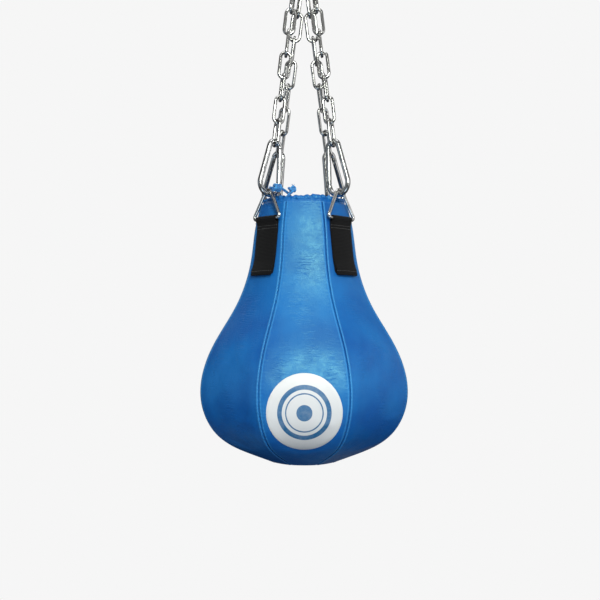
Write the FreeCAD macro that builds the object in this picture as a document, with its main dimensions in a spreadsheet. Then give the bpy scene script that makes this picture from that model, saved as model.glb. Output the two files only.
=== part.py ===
import FreeCAD, Part
import math
import os
from FreeCAD import Placement, Rotation, Vector

# A pear-shaped heavy punching bag (maize bag): eight leather panels round a lining and a
# filling, carried by four webbing straps, delta rings, snap hooks and chains that meet on
# one ring under a ball-bearing swivel.
# Millimetres. +Z is up and the front faces -Y. The origin is the middle of the swivel's
# hanging eye, so the whole bag hangs below it.

RIGHT = Vector(1, 0, 0)
BACK = Vector(0, 1, 0)
UP = Vector(0, 0, 1)
ORIGIN = Vector(0, 0, 0)

doc = FreeCAD.newDocument("punching_bag")
sizes = doc.addObject("Spreadsheet::Sheet", "sizes")

SIZES = {
    # fits
    "touch_gap": 0.3,  # between neighbours that only rest on each other
    "sewn_gap": 0.1,  # between pieces sewn or glued flat to each other
    "running_gap": 0.05,  # radial, shaft in bore
    # leather shell: apothem of the eight-sided section at heights above the base
    "bag_height": 402,
    "base_apothem": 46,
    "heel_apothem": 86,
    "heel_height": 17,
    "flank_apothem": 130.5,
    "flank_height": 44,
    "belly_apothem": 156.5,
    "belly_height": 100,
    "waist_apothem": 136,
    "waist_height": 183,
    "shoulder_apothem": 104,
    "shoulder_height": 238,
    "throat_apothem": 80.5,
    "throat_drop": 90,  # from here on, measured down from the top of the bag
    "neck_apothem": 74.5,
    "neck_drop": 44,
    "brim_apothem": 66,
    "brim_drop": 10,
    "lip_apothem": 60,
    "lip_rise": 10,
    "corner_ratio": 1.05,  # seam radius over apothem: the stuffed panels bulge a little
    "leather_thickness": 2.5,
    "lining_thickness": 12,
    "lining_drop": 17,
    "cover_thickness": 4,
    "cover_drop": 20,
    "filling_drop": 24.4,
    "roundel_half_width": 52.3,
    "roundel_half_height": 54.8,
    "roundel_height": 89,
    "roundel_thickness": 0.6,
    # drawstring hem and lace
    "hem_ring_radius": 57,
    "hem_radius": 5,
    "tunnel_radius": 2.6,
    "tunnel_overrun": 1,  # degrees that the tunnel's cutter passes each end of the hem
    "hem_opening": 14,  # degrees of the ring left open for the lace ends
    "hem_opening_azimuth": 247,
    "lace_radius": 2.2,
    "lace_end_setback": 24,  # degrees of tunnel left to the free lace ends, each side
    "long_knot_length": 20,
    "long_knot_radius": 6,
    "short_knot_radius": 5.6,
    # webbing straps
    "strap_width": 43.5,
    "strap_length": 87,
    "webbing_thickness": 2.2,
    "strap_bar_drop": 36,
    "loop_taper": 12,
    "loop_width": 40,  # the webbing draws in where it wraps the ring's bar
    # delta rings
    "delta_wire_radius": 2.5,
    "delta_inner_width": 48,
    "delta_rise": 43.5,
    "delta_corner_radius": 4,
    "delta_apex_radius": 8,
    "delta_lean": 5,
    # snap hooks
    "hook_length": 90,
    "hook_wire_radius": 4,
    "hook_wide_radius": 17,
    "hook_narrow_radius": 9.5,
    "front_hook_lean": 11,
    "back_hook_lean": 15,
    "hook_turn": 39,  # how far each hook turns from square to the bag's front
    "gate_radius": 3.8,
    "gate_hinge_inset": 5,
    "gate_nose_inset": 3,
    "gate_end_gap": 0.4,
    "gate_pin_radius": 1.5,
    "gate_pin_setback": 0.2,  # of each end of the pin from the side of the gate
    "hinge_tongue": 3.2,
    "tongue_shoulder": 0.5,  # each side of a tongue stands back from the gate's side
    "nose_tongue": 2.6,
    "nose_reach": 4.6,
    "tongue_root": 1,  # how deep the latch tongue runs into the gate's rod
    "latch_pin_radius": 1.0,
    "slot_gap": 0.2,
    "gate_bore_radius": 2.1,
    "gate_bore_depth": 26,
    "spring_radius": 1.55,
    "spring_wire_radius": 0.3,
    "spring_pitch": 1.8,
    "spring_length": 21,
    # chains
    "links_per_chain": 7,
    "link_inner_length": 36.5,
    "link_outer_width": 20,
    "link_wire_radius": 2.5,
    "hook_end_twist": 28,  # how far the chain's end links turn from square to the bag
    "ring_end_twist": -9,
    "front_chain_spread": 16,
    "back_chain_spread": 5,
    # hanging ring
    "ring_radius": 34,
    "ring_wire_radius": 4,
    # swivel
    "eye_bore_radius": 10,
    "eye_outer_radius": 18,
    "eye_thickness": 12,
    "neck_width": 20,
    "cap_drop": 22,
    "cap_thickness": 6,
    "cap_plug_length": 6,
    "housing_radius": 17,
    "housing_wall": 4,
    "housing_floor": 6,
    "cavity_height": 28,
    "stem_radius": 6.2,
    "ball_radius": 2,
    "ball_count": 12,
    "ball_track_radius": 9.8,
    "race_outer_radius": 12.7,
    "race_thickness": 3.5,
    "groove_depth": 1,
    "nut_across_flats": 19,
    "nut_height": 8,
    "stem_end_rise": 2,
    "collar_radius": 11,
    "collar_thickness": 5,
    "collar_gap": 0.8,
    "lower_eye_ring_radius": 15,
    "lower_eye_wire_radius": 5,
}
for row, (alias, value) in enumerate(SIZES.items(), start=1):
    sizes.set(f"A{row}", alias)
    sizes.set(f"B{row}", str(value))
    sizes.setAlias(f"B{row}", alias)
doc.recompute()


def size(alias):
    return float(sizes.get(alias))


touch = size("touch_gap")
sewn = size("sewn_gap")
running = size("running_gap")
nodes = []


def node(piece, name):
    """Name a finished piece and put it on the list that is written out."""
    piece.Label = name
    nodes.append(piece)
    return piece


def feature(name, shape, place=None):
    """A piece whose shape comes from Part's own functions."""
    piece = doc.addObject("Part::Feature", name)
    piece.Shape = shape
    piece.Placement = place or Placement()
    return piece


def cylinder(name, radius, height, base=ORIGIN, axis=UP):
    piece = doc.addObject("Part::Cylinder", name)
    piece.setExpression("Radius", radius)
    piece.setExpression("Height", height)
    piece.Placement = Placement(base, Rotation(UP, axis))
    return piece


def torus(name, ring_radius, wire_radius, centre, axis=UP):
    piece = doc.addObject("Part::Torus", name)
    piece.setExpression("Radius1", ring_radius)
    piece.setExpression("Radius2", wire_radius)
    piece.Placement = Placement(centre, Rotation(UP, axis))
    return piece


def fuse(name, pieces):
    piece = doc.addObject("Part::MultiFuse", name)
    piece.Shapes = pieces
    piece.Refine = True
    return piece


def cut(name, base, tool):
    piece = doc.addObject("Part::Cut", name)
    piece.Base = base
    piece.Tool = tool
    return piece


def at(x_axis, z_axis, origin):
    """The placement of a piece drawn in a local XZ plane, with those two axes."""
    return Placement(origin, Rotation(x_axis, z_axis.cross(x_axis), z_axis, "ZXY"))


def pipe(edges, radius):
    """A round wire bent along a path of lines and arcs."""
    path = Part.Wire(edges)
    first = path.OrderedEdges[0]
    start = first.firstVertex(True).Point
    tangent = first.tangentAt(first.FirstParameter)
    section = Part.Wire(Part.makeCircle(radius, start, tangent))
    return path.makePipeShell([section], True, False)


def rounded_path(points, radii, closed):
    """Straight runs between the points, joined by tangent arcs of those radii."""
    count = len(points)
    corners = range(count) if closed else range(1, count - 1)
    ends = []
    for i in corners:
        here = points[i]
        before = (points[i - 1] - here).normalize()
        after = (points[(i + 1) % count] - here).normalize()
        half_turn = (math.pi - before.getAngle(after)) / 2
        radius = radii[i]
        reach = radius * math.tan(half_turn)
        inward = (before + after).normalize()
        middle = here + inward * (radius / math.cos(half_turn) - radius)
        ends.append((here + before * reach, middle, here + after * reach))
    edges = []
    if not closed:
        edges.append(Part.LineSegment(points[0], ends[0][0]).toShape())
    for i, (start, middle, finish) in enumerate(ends):
        edges.append(Part.Arc(start, middle, finish).toShape())
        if i + 1 < len(ends):
            edges.append(Part.LineSegment(finish, ends[i + 1][0]).toShape())
    last = ends[0][0] if closed else points[-1]
    edges.append(Part.LineSegment(ends[-1][2], last).toShape())
    return edges


# ---- Shape of the bag, drawn with its base on z = 0 -------------------------------------

bag_height = size("bag_height")
leather = size("leather_thickness")
PANEL_COUNT = 8
HALF_PANEL = math.pi / PANEL_COUNT
OUTLINE_SECTIONS = 26


def bag_curve():
    """The side outline of the bag, from the edge of the base up past the brim."""
    from_base = ["heel", "flank", "belly", "waist", "shoulder"]
    from_top = ["throat", "neck", "brim"]
    stations = [Vector(size("base_apothem"), 0, 0)]
    for name in from_base:
        stations.append(Vector(size(name + "_apothem"), 0, size(name + "_height")))
    for name in from_top:
        stations.append(Vector(size(name + "_apothem"), 0, bag_height - size(name + "_drop")))
    stations.append(Vector(size("lip_apothem"), 0, bag_height + size("lip_rise")))
    curve = Part.BSplineCurve()
    curve.interpolate(stations)
    return curve


outline = bag_curve()


def outline_point(parameter, inset=0):
    """A point of the outline, moved inwards along its normal by inset."""
    tangent = outline.tangent(parameter)[0]
    outward = Vector(tangent.z, 0, -tangent.x)
    return outline.value(parameter) - outward * inset


def apothem_at(height, inset=0):
    """How far the middle of a panel is from the axis at that height."""
    low, high = outline.FirstParameter, outline.LastParameter
    for _ in range(40):
        middle = (low + high) / 2
        if outline_point(middle, inset).z < height:
            low = middle
        else:
            high = middle
    return outline_point(low, inset).x


def section(apothem, height):
    """One closed cross-section: eight shallow arcs that meet at the seams."""
    arcs = []
    for k in range(PANEL_COUNT):
        middle = 2 * k * HALF_PANEL
        ring = [
            (size("corner_ratio") * apothem, middle - HALF_PANEL),
            (apothem, middle),
            (size("corner_ratio") * apothem, middle + HALF_PANEL),
        ]
        points = [Vector(r * math.cos(a), r * math.sin(a), height) for r, a in ring]
        arcs.append(Part.Arc(*points).toShape())
    return Part.Wire(arcs)


def bag_solid(inset):
    """The bag's outer shape, shrunk by inset all round, or grown where inset is negative."""
    first, last = outline.FirstParameter, outline.LastParameter
    sections = []
    for i in range(OUTLINE_SECTIONS):
        point = outline_point(first + (last - first) * i / (OUTLINE_SECTIONS - 1), inset)
        sections.append(section(point.x, point.z))
    return Part.makeLoft(sections, True, False)


REACH = 400  # half-width of the blocks that trim the bag's layers, wider than any bag


def below(height):
    """A block that keeps everything under a height."""
    return Part.makeBox(2 * REACH, 2 * REACH, height + REACH, Vector(-REACH, -REACH, -REACH))


def wedge(azimuth, gap):
    """The sector of one panel, with half the seam gap left off each side."""
    towards = Vector(math.cos(azimuth), math.sin(azimuth), 0)
    tip = towards * (gap / 2 / math.sin(HALF_PANEL))
    far = [tip]
    for side in (-HALF_PANEL, HALF_PANEL):
        angle = azimuth + side
        far.append(tip + Vector(math.cos(angle), math.sin(angle), 0) * REACH)
    face = Part.Face(Part.makePolygon(far + [tip]))
    face.translate(UP * -REACH)
    return face.extrude(UP * 3 * REACH)


# ---- Heights and places that the carrying gear and the bag share ------------------------

delta_wire = size("delta_wire_radius")
hook_wire = size("hook_wire_radius")
link_wire = size("link_wire_radius")
ring_wire = size("ring_wire_radius")
webbing = size("webbing_thickness")

eye_end = -size("cap_drop")
cap_bottom = eye_end - size("cap_thickness")
cavity_floor = cap_bottom - size("cavity_height")
housing_bottom = cavity_floor - size("housing_floor")
collar_top = housing_bottom - size("collar_gap")
collar_bottom = collar_top - size("collar_thickness")
lower_eye_z = collar_bottom - size("lower_eye_ring_radius")
lower_eye_seat = lower_eye_z - size("lower_eye_ring_radius") + size("lower_eye_wire_radius")
ring_top_z = lower_eye_seat + touch + ring_wire
ring_centre = Vector(0, 0, ring_top_z - size("ring_radius"))

bar_height = bag_height - size("strap_bar_drop")
loop_fit = sewn + delta_wire
bar_reach = apothem_at(bar_height) + touch + webbing + loop_fit


def leaned(distance, degrees):
    """A step of that length up the side of the bag, leaning towards the axis, as (out, up)."""
    angle = math.radians(degrees)
    return Vector(-math.sin(angle), 0, math.cos(angle)) * distance


bar = Vector(bar_reach, 0, bar_height)
apex = bar + leaned(size("delta_rise"), size("delta_lean"))
hook_span = size("hook_length") - 2 * hook_wire


def hook_lean(depth):
    return size("front_hook_lean" if depth < 0 else "back_hook_lean")


def hook_seat(depth):
    """The bottom of the hook's wire, hung in the delta ring's apex."""
    return apex - leaned(delta_wire + hook_wire + touch, hook_lean(depth))


def hook_top(depth):
    return hook_seat(depth) + leaned(hook_span, hook_lean(depth))



link_count = int(size("links_per_chain"))
link_span = size("link_inner_length") + 2 * link_wire  # between the wire centres of one link


def ring_seat(side, spread):
    """Where a chain hangs on the bottom of the ring: the centre of the ring's wire."""
    drop = math.sqrt(size("ring_radius") ** 2 - spread**2)
    return ring_centre + Vector(side * spread, 0, -drop)


def ring_reach(spread):
    """From the ring's wire to the link's wire: more where the ring's wire slopes."""
    slope = math.asin(spread / size("ring_radius"))
    return (ring_wire + link_wire) / math.cos(slope)


def taut_length(spread):
    """From the ring's wire to the hook's wire, with every link drawn tight."""
    chain = link_count * link_span - (link_count - 1) * 2 * link_wire
    return chain - (hook_wire + link_wire) - ring_reach(spread)


LEGS = {
    "front_left": (-1, -1),
    "front_right": (1, -1),
    "back_right": (1, 1),
    "back_left": (-1, 1),
}


def spread_of(depth):
    return size("front_chain_spread" if depth < 0 else "back_chain_spread")


def drop_of(depth):
    """How far a taut chain brings its hook's top below its place on the ring."""
    taut = taut_length(spread_of(depth)) - (link_count + 1) * touch
    out = hook_top(depth).x * math.sqrt(0.5)
    offset = math.hypot(out - spread_of(depth), out)
    return math.sqrt(taut**2 - offset**2)


# The shorter pair of chains sets the height that the bag hangs at.
base_z = max(ring_seat(1, spread_of(d)).z - drop_of(d) - hook_top(d).z for d in (-1, 1))
bag_place = Placement(UP * base_z, Rotation())


def leg_point(side, depth, local):
    """A point of the carrying gear, given as (out, up), on one of the four corners."""
    out = local.x * math.sqrt(0.5)
    return Vector(side * out, depth * out, local.z + base_z)


def leg_direction(side, depth, local):
    out = local.x * math.sqrt(0.5)
    return Vector(side * out, depth * out, local.z)


# ---- Leather shell ----------------------------------------------------------------------

brim_height = bag_height - 2 * size("hem_radius") - sewn
shell = bag_solid(0).cut(bag_solid(leather)).common(below(brim_height))
base_opening = Part.Face(section(size("base_apothem"), 0)).extrude(UP * 2 * leather)
shell = shell.cut(base_opening)

PANELS = ["right", "back_right", "back", "back_left", "left", "front_left", "front", "front_right"]
for k, side in enumerate(PANELS):
    panel = shell.common(wedge(2 * k * HALF_PANEL, 2 * sewn))
    name = "panel_" + side
    node(feature(name, panel.Solids[0], bag_place), name)

base_section = Part.Face(section(size("base_apothem") - 2 * sewn, 0))
base_disc = feature("base_disc", base_section.extrude(UP * leather), bag_place)
node(base_disc, "base_disc")

patch_inner = -sewn
patch_outer = -sewn - size("roundel_thickness")
roundel_centre = Vector(0, 0, size("roundel_height"))
top_of_disc = roundel_centre + UP * size("roundel_half_height")
side_of_disc = roundel_centre + RIGHT * size("roundel_half_width")
disc_outline = Part.Ellipse(top_of_disc, side_of_disc, roundel_centre).toShape()
punch = Part.Face(Part.Wire(disc_outline)).extrude(BACK * -REACH)
patch = bag_solid(patch_outer).cut(bag_solid(patch_inner)).common(punch)
node(feature("front_roundel", patch.Solids[0], bag_place), "front_roundel")

# ---- Inside of the bag ------------------------------------------------------------------

lining_inset = leather + touch
filling_inset = lining_inset + size("lining_thickness") + touch
lining_height = bag_height - size("lining_drop")
lining = bag_solid(lining_inset).cut(bag_solid(lining_inset + size("lining_thickness")))
lining = lining.common(below(lining_height))
node(feature("foam_lining", lining.Solids[0], bag_place), "foam_lining")

filling = bag_solid(filling_inset).common(below(bag_height - size("filling_drop")))
node(feature("filling", filling.Solids[0], bag_place), "filling")

cover_top = bag_height - size("cover_drop")
cover_inset = lining_inset + size("lining_thickness")
cover_radius = apothem_at(cover_top, cover_inset) * math.cos(HALF_PANEL)
cover_base = Vector(0, 0, base_z + cover_top - size("cover_thickness"))
cover = Part.makeCylinder(cover_radius, size("cover_thickness"))
node(feature("top_cover", cover, Placement(cover_base, Rotation())), "top_cover")

# ---- Drawstring hem and its lace --------------------------------------------------------

hem_centre = Vector(0, 0, base_z + bag_height - size("hem_radius"))


def ring_arc(name, wire_radius, start, sweep):
    """Part of a round wire or tube that lies in the hem, between two azimuths."""
    piece = doc.addObject("Part::Torus", name)
    piece.setExpression("Radius1", "sizes.hem_ring_radius")
    piece.setExpression("Radius2", wire_radius)
    piece.Angle3 = sweep
    piece.Placement = Placement(hem_centre, Rotation(UP, start))
    return piece


hem_start = size("hem_opening_azimuth") + size("hem_opening") / 2
hem_sweep = 360 - size("hem_opening")
hem_roll = ring_arc("hem_roll", "sizes.hem_radius", hem_start, hem_sweep)
overrun = size("tunnel_overrun")
hem_tunnel = ring_arc("hem_tunnel", "sizes.tunnel_radius", hem_start - overrun, hem_sweep + 2 * overrun)
node(cut("drawstring_hem", hem_roll, hem_tunnel), "drawstring_hem")

setback = size("lace_end_setback")
lace = ring_arc("drawcord", "sizes.lace_radius", hem_start + setback, hem_sweep - 2 * setback)
node(lace, "drawcord")

# ---- Delta rings ------------------------------------------------------------------------

def delta_outline():
    """The sharp triangle whose rounded copy has the ring's rise and inner width."""
    corner = size("delta_corner_radius")
    widest = size("delta_inner_width") / 2 + delta_wire
    half_base = widest
    peak = size("delta_rise")
    for _ in range(40):
        # What rounding takes off a corner depends on how sharp that corner is.
        base_angle = math.atan2(peak, half_base)
        half_base = widest - corner + corner / math.tan(base_angle / 2)
        apex_half_angle = math.atan2(half_base, peak)
        peak = size("delta_rise") + size("delta_apex_radius") * (1 / math.sin(apex_half_angle) - 1)
    points = [Vector(-half_base, 0, 0), Vector(half_base, 0, 0), Vector(0, 0, peak)]
    return rounded_path(points, [corner, corner, size("delta_apex_radius")], True)


delta = pipe(delta_outline(), delta_wire)
for corner, (side, depth) in LEGS.items():
    name = "delta_ring_" + corner
    along = Vector(-depth, side, 0).normalize()
    up_ring = leg_direction(side, depth, leaned(1, size("delta_lean")))
    node(feature(name, delta, at(along, up_ring, leg_point(side, depth, bar))), name)

# ---- Webbing straps, each a folded loop sewn to a corner panel --------------------------

strap_top_drop = size("strap_bar_drop") - loop_fit - webbing
strap_foot = bag_height - strap_top_drop - size("strap_length")
STRAP_SPANS = 8


def strap_line(offset, low, high):
    """The line that the strap follows down the middle of its panel, that far off the leather."""
    points = []
    for i in range(STRAP_SPANS + 1):
        height = low + (high - low) * i / STRAP_SPANS
        points.append(Vector(apothem_at(height) + offset, 0, height))
    curve = Part.BSplineCurve()
    curve.interpolate(points)
    return curve.toShape(), points[0], points[-1]


def strap_solid():
    """Both plies of one strap with the loop round the bar, drawn in the XZ plane."""
    loop_radius = loop_fit + webbing
    width = size("strap_width")
    back_line, back_low, back_high = strap_line(touch, strap_foot, bar_height)
    taper_height = bar_height - size("loop_taper")
    face_line, face_low, face_high = strap_line(touch + 2 * webbing, strap_foot, taper_height)
    over_top = bar + UP * loop_radius
    loop_front = bar + RIGHT * loop_radius
    edges = [
        back_line,
        Part.Arc(back_high, over_top, loop_front).toShape(),
        Part.LineSegment(loop_front, face_high).toShape(),
        face_line,
        Part.LineSegment(face_low, back_low).toShape(),
    ]
    side_view = Part.Face(Part.Wire(Part.__sortEdges__(edges)))
    side_view.translate(BACK * -width / 2)
    solid = side_view.extrude(BACK * width)
    solid = solid.cut(Part.makeCylinder(loop_fit, 2 * width, bar - BACK * width, BACK))
    for end in (size("loop_width") / 2, -size("loop_width") / 2 - width):
        notch_corner = bar + Vector(-2 * loop_radius, end, -loop_radius)
        solid = solid.cut(Part.makeBox(4 * loop_radius, width, 4 * loop_radius, notch_corner))
    return solid


strap = strap_solid()
for corner, (side, depth) in LEGS.items():
    name = "strap_" + corner
    azimuth = math.degrees(math.atan2(depth, side))
    node(feature(name, strap, Placement(UP * base_z, Rotation(UP, azimuth))), name)

# ---- Snap hooks, drawn with the bottom of the wire's centre line at the origin ----------

wide = size("hook_wide_radius")
narrow = size("hook_narrow_radius")
wide_centre = Vector(0, 0, wide)
narrow_centre = Vector(0, 0, hook_span - narrow)
limb_angle = math.asin((wide - narrow) / (narrow_centre - wide_centre).Length)
limb_normal = Vector(math.cos(limb_angle), 0, math.sin(limb_angle))
limb_up = Vector(-math.sin(limb_angle), 0, math.cos(limb_angle))
mirror_limb = Vector(-limb_normal.x, 0, limb_normal.z)
gate_low = wide_centre + limb_normal * wide
gate_high = narrow_centre + limb_normal * narrow
hinge_point = gate_high - limb_up * size("gate_hinge_inset")
nose_tip = gate_low + limb_up * size("gate_nose_inset")
gate_span = (hinge_point - nose_tip).Length
gate_place = Placement(hinge_point, Rotation(BACK, -math.degrees(limb_angle)))
hook_edges = [
    Part.LineSegment(nose_tip, gate_low).toShape(),
    Part.Arc(gate_low, ORIGIN, wide_centre + mirror_limb * wide).toShape(),
    Part.LineSegment(wide_centre + mirror_limb * wide, narrow_centre + mirror_limb * narrow).toShape(),
    Part.Arc(narrow_centre + mirror_limb * narrow, UP * hook_span, gate_high).toShape(),
]


def centred_box(width, depth, low, high, x=0):
    """A box between two heights, centred on x and on the plane of the hook."""
    return Part.makeBox(width, depth, high - low, Vector(x - width / 2, -depth / 2, low))


def across(radius, length, x, z):
    """A cylinder that lies across the hook, through that point of its plane."""
    return Part.makeCylinder(radius, length, Vector(x, -length / 2, z), BACK)


def hook_solid():
    """The bent wire, with a tongue for the gate's hinge and a slotted nose, in the hook's frame."""
    tongue_width = 2 * (size("gate_radius") - size("tongue_shoulder"))
    tongue = centred_box(tongue_width, size("hinge_tongue"), 0, size("gate_hinge_inset") + hook_wire)
    tongue = tongue.fuse(across(tongue_width / 2, size("hinge_tongue"), 0, 0))
    tongue = tongue.cut(across(size("gate_pin_radius"), 4 * hook_wire, 0, 0))
    slot_depth = size("nose_reach") + 2 * size("slot_gap")
    slot = centred_box(
        4 * hook_wire,
        size("nose_tongue") + 2 * size("slot_gap"),
        -gate_span - slot_depth,
        -gate_span + hook_wire,
    )
    latch_z = latch_height()
    notch_half = size("latch_pin_radius") + size("slot_gap")
    notch = Part.makeBox(
        2 * hook_wire,
        4 * hook_wire,
        2 * notch_half,
        Vector(-2 * hook_wire, -2 * hook_wire, latch_z - notch_half),
    )
    notch = notch.fuse(across(notch_half, 4 * hook_wire, 0, latch_z))
    fitted = [shape.transformed(gate_place.toMatrix()) for shape in (tongue, slot, notch)]
    body = pipe(hook_edges, hook_wire).fuse(fitted[0])
    return body.cut(fitted[1]).cut(fitted[2])


def latch_height():
    """Where the gate's latch pin seats in the nose, measured from the hinge."""
    return -gate_span - size("nose_reach") + 2 * size("latch_pin_radius")


def gate_solid():
    """The gate: a forked and bored rod with a latch tongue, hinged at its own origin."""
    radius = size("gate_radius")
    rod_end = -gate_span + size("gate_end_gap")
    rod = Part.makeCylinder(radius, -rod_end, Vector(0, 0, rod_end))
    rounded_end = Part.makeCylinder(radius, 2 * radius, UP * -radius)
    gate = rod.fuse(rounded_end.common(across(radius, 2 * radius, 0, 0)))
    latch_tongue = centred_box(
        2 * (radius - size("tongue_shoulder")),
        size("nose_tongue"),
        -gate_span - size("nose_reach"),
        rod_end + size("tongue_root"),
    )
    latch_pin = across(size("latch_pin_radius"), 2 * radius, 0, latch_height())
    gate = gate.fuse(latch_tongue).fuse(latch_pin)
    fork_slot = centred_box(
        4 * radius,
        size("hinge_tongue") + 2 * size("slot_gap"),
        -size("gate_hinge_inset"),
        2 * radius,
    )
    pin_hole = across(size("gate_pin_radius") + running, 4 * radius, 0, 0)
    bore_end = UP * -(size("gate_hinge_inset") + size("gate_bore_depth"))
    bore = Part.makeCylinder(size("gate_bore_radius"), size("gate_bore_depth"), bore_end)
    return gate.cut(fork_slot).cut(pin_hole).cut(bore)


def spring_solid():
    """The coil spring in the gate's bore."""
    helix = Part.makeHelix(size("spring_pitch"), size("spring_length"), size("spring_radius"))
    bore_end = -(size("gate_hinge_inset") + size("gate_bore_depth"))
    helix.translate(UP * (bore_end + 2 * size("spring_wire_radius")))
    start = helix.Edges[0].firstVertex(True).Point
    tangent = helix.Edges[0].tangentAt(helix.Edges[0].FirstParameter)
    wire = Part.Wire(Part.makeCircle(size("spring_wire_radius"), start, tangent))
    return Part.Wire(helix.Edges).makePipeShell([wire], True, True)


hook = hook_solid()
gate = gate_solid()
spring = spring_solid()
pin_length = 2 * (size("gate_radius") - size("gate_pin_setback"))
gate_pin = across(size("gate_pin_radius"), pin_length, 0, 0)
gate_joints = []
for corner, (side, depth) in LEGS.items():
    up_hook = leg_direction(side, depth, leaned(1, hook_lean(depth)))
    turn = math.radians(size("hook_turn"))
    # The gates face the axis on the two front hooks and away from it on the two back ones.
    gate_side = -depth
    across_hook = Vector(-side * math.cos(turn), -depth * math.sin(turn), 0) * gate_side
    across_hook = (across_hook - up_hook * across_hook.dot(up_hook)).normalize()
    place = at(across_hook, up_hook, leg_point(side, depth, hook_seat(depth)))
    hinged = place * gate_place
    node(feature("snap_hook_" + corner, hook, place), "snap_hook_" + corner)
    node(feature("hook_gate_" + corner, gate, hinged), "hook_gate_" + corner)
    node(feature("gate_pin_" + corner, gate_pin, hinged), "gate_pin_" + corner)
    node(feature("gate_spring_" + corner, spring, hinged), "gate_spring_" + corner)
    gate_joints.append((corner, hinged.Base, hinged.Rotation.multVec(BACK)))

# ---- Chains -----------------------------------------------------------------------------

bend = size("link_outer_width") / 2 - link_wire
straight = link_span / 2 - bend


def link_solid():
    """One oval link, centred on the origin in the XZ plane."""
    top = Vector(0, 0, straight)
    edges = [
        Part.LineSegment(Vector(-bend, 0, -straight), Vector(-bend, 0, straight)).toShape(),
        Part.Arc(Vector(-bend, 0, straight), top + UP * bend, Vector(bend, 0, straight)).toShape(),
        Part.LineSegment(Vector(bend, 0, straight), Vector(bend, 0, -straight)).toShape(),
        Part.Arc(Vector(bend, 0, -straight), -top - UP * bend, Vector(-bend, 0, -straight)).toShape(),
    ]
    return pipe(edges, link_wire)


link = link_solid()


def chain_shape(side, depth):
    """The links of one taut chain, from its snap hook up to the ring."""
    low = leg_point(side, depth, hook_top(depth))
    high = ring_seat(side, spread_of(depth))
    along = (high - low).normalize()
    gap = (taut_length(spread_of(depth)) - (high - low).Length) / (link_count + 1)
    pitch = link_span - 2 * link_wire - gap
    first = low - along * (hook_wire + link_wire + gap) + along * link_span / 2
    flat = (RIGHT - along * RIGHT.dot(along)).normalize()
    links = []
    for k in range(link_count):
        share = k / (link_count - 1)
        turn = size("hook_end_twist") * (1 - share) + size("ring_end_twist") * share
        twist = side * depth * turn + (90 if k % 2 == 0 else 0)
        wide = Rotation(along, twist).multVec(flat)
        links.append(link.transformed(at(wide, along, first + along * pitch * k).toMatrix()))
    return Part.makeCompound(links)


for corner, (side, depth) in LEGS.items():
    name = "chain_" + corner
    node(feature(name, chain_shape(side, depth)), name)

# ---- Hanging ring and swivel ------------------------------------------------------------

hanging_ring = torus("hanging_ring", "sizes.ring_radius", "sizes.ring_wire_radius", ring_centre, BACK)
node(hanging_ring, "hanging_ring")

eye_face = BACK * (size("eye_thickness") / 2)
eye_blank = cylinder("eye_blank", "sizes.eye_outer_radius", "sizes.eye_thickness", eye_face, BACK * -1)
eye_bore = cylinder("eye_bore", "sizes.eye_bore_radius", "sizes.eye_thickness", eye_face, BACK * -1)
neck = doc.addObject("Part::Box", "neck")
neck.setExpression("Length", "sizes.neck_width")
neck.setExpression("Width", "sizes.eye_thickness")
neck.setExpression("Height", "sizes.cap_drop - sizes.eye_bore_radius")
neck.Placement.Base = Vector(-size("neck_width") / 2, -size("eye_thickness") / 2, eye_end)
cap = cylinder("cap", "sizes.housing_radius", "sizes.cap_thickness", UP * cap_bottom)
plug = cylinder(
    "plug",
    "sizes.housing_radius - sizes.housing_wall - sizes.sewn_gap",
    "sizes.cap_plug_length",
    UP * (cap_bottom - size("cap_plug_length")),
)
eye_body = fuse("eye_body", [eye_blank, neck, cap, plug])
node(cut("swivel_eye", eye_body, eye_bore), "swivel_eye")

housing_blank = cylinder(
    "housing_blank",
    "sizes.housing_radius",
    "sizes.cavity_height + sizes.housing_floor - sizes.sewn_gap",
    UP * housing_bottom,
)
cavity = cylinder(
    "cavity", "sizes.housing_radius - sizes.housing_wall", "sizes.cavity_height", UP * cavity_floor
)
stem_hole = cylinder(
    "stem_hole",
    "sizes.stem_radius + sizes.running_gap",
    "sizes.housing_floor",
    UP * housing_bottom,
)
node(cut("swivel_housing", housing_blank, fuse("housing_hollow", [cavity, stem_hole])), "swivel_housing")

lower_race_z = cavity_floor
ball_z = lower_race_z + size("race_thickness") - size("groove_depth") + size("ball_radius") + running
upper_race_z = ball_z + size("ball_radius") + running - size("groove_depth")
nut_z = upper_race_z + size("race_thickness")


def race(name, height):
    """A thrust bearing washer with a groove for the balls."""
    blank = cylinder(name + "_blank", "sizes.race_outer_radius", "sizes.race_thickness", UP * height)
    hole_radius = "sizes.stem_radius + 2 * sizes.running_gap"
    hole = cylinder(name + "_hole", hole_radius, "sizes.race_thickness", UP * height)
    groove_radius = "sizes.ball_radius + sizes.running_gap"
    groove = torus(name + "_groove", "sizes.ball_track_radius", groove_radius, UP * ball_z)
    node(cut(name, blank, fuse(name + "_hollow", [hole, groove])), name)


race("bearing_race_lower", lower_race_z)
race("bearing_race_upper", upper_race_z)

ball_count = int(size("ball_count"))
balls = []
for k in range(ball_count):
    angle = 2 * math.pi * k / ball_count
    place = Vector(math.cos(angle), math.sin(angle), 0) * size("ball_track_radius") + UP * ball_z
    balls.append(Part.makeSphere(size("ball_radius"), place))
node(feature("bearing_balls", Part.makeCompound(balls)), "bearing_balls")

nut_blank = doc.addObject("Part::Prism", "nut_blank")
nut_blank.Polygon = 6
nut_blank.setExpression("Circumradius", "sizes.nut_across_flats / 2 / cos(30)")
nut_blank.setExpression("Height", "sizes.nut_height")
nut_blank.Placement.Base = UP * (nut_z + sewn)
nut_bore_radius = "sizes.stem_radius + sizes.running_gap / 2"
nut_bore = cylinder("nut_bore", nut_bore_radius, "sizes.nut_height", UP * (nut_z + sewn))
node(cut("swivel_nut", nut_blank, nut_bore), "swivel_nut")

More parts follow.
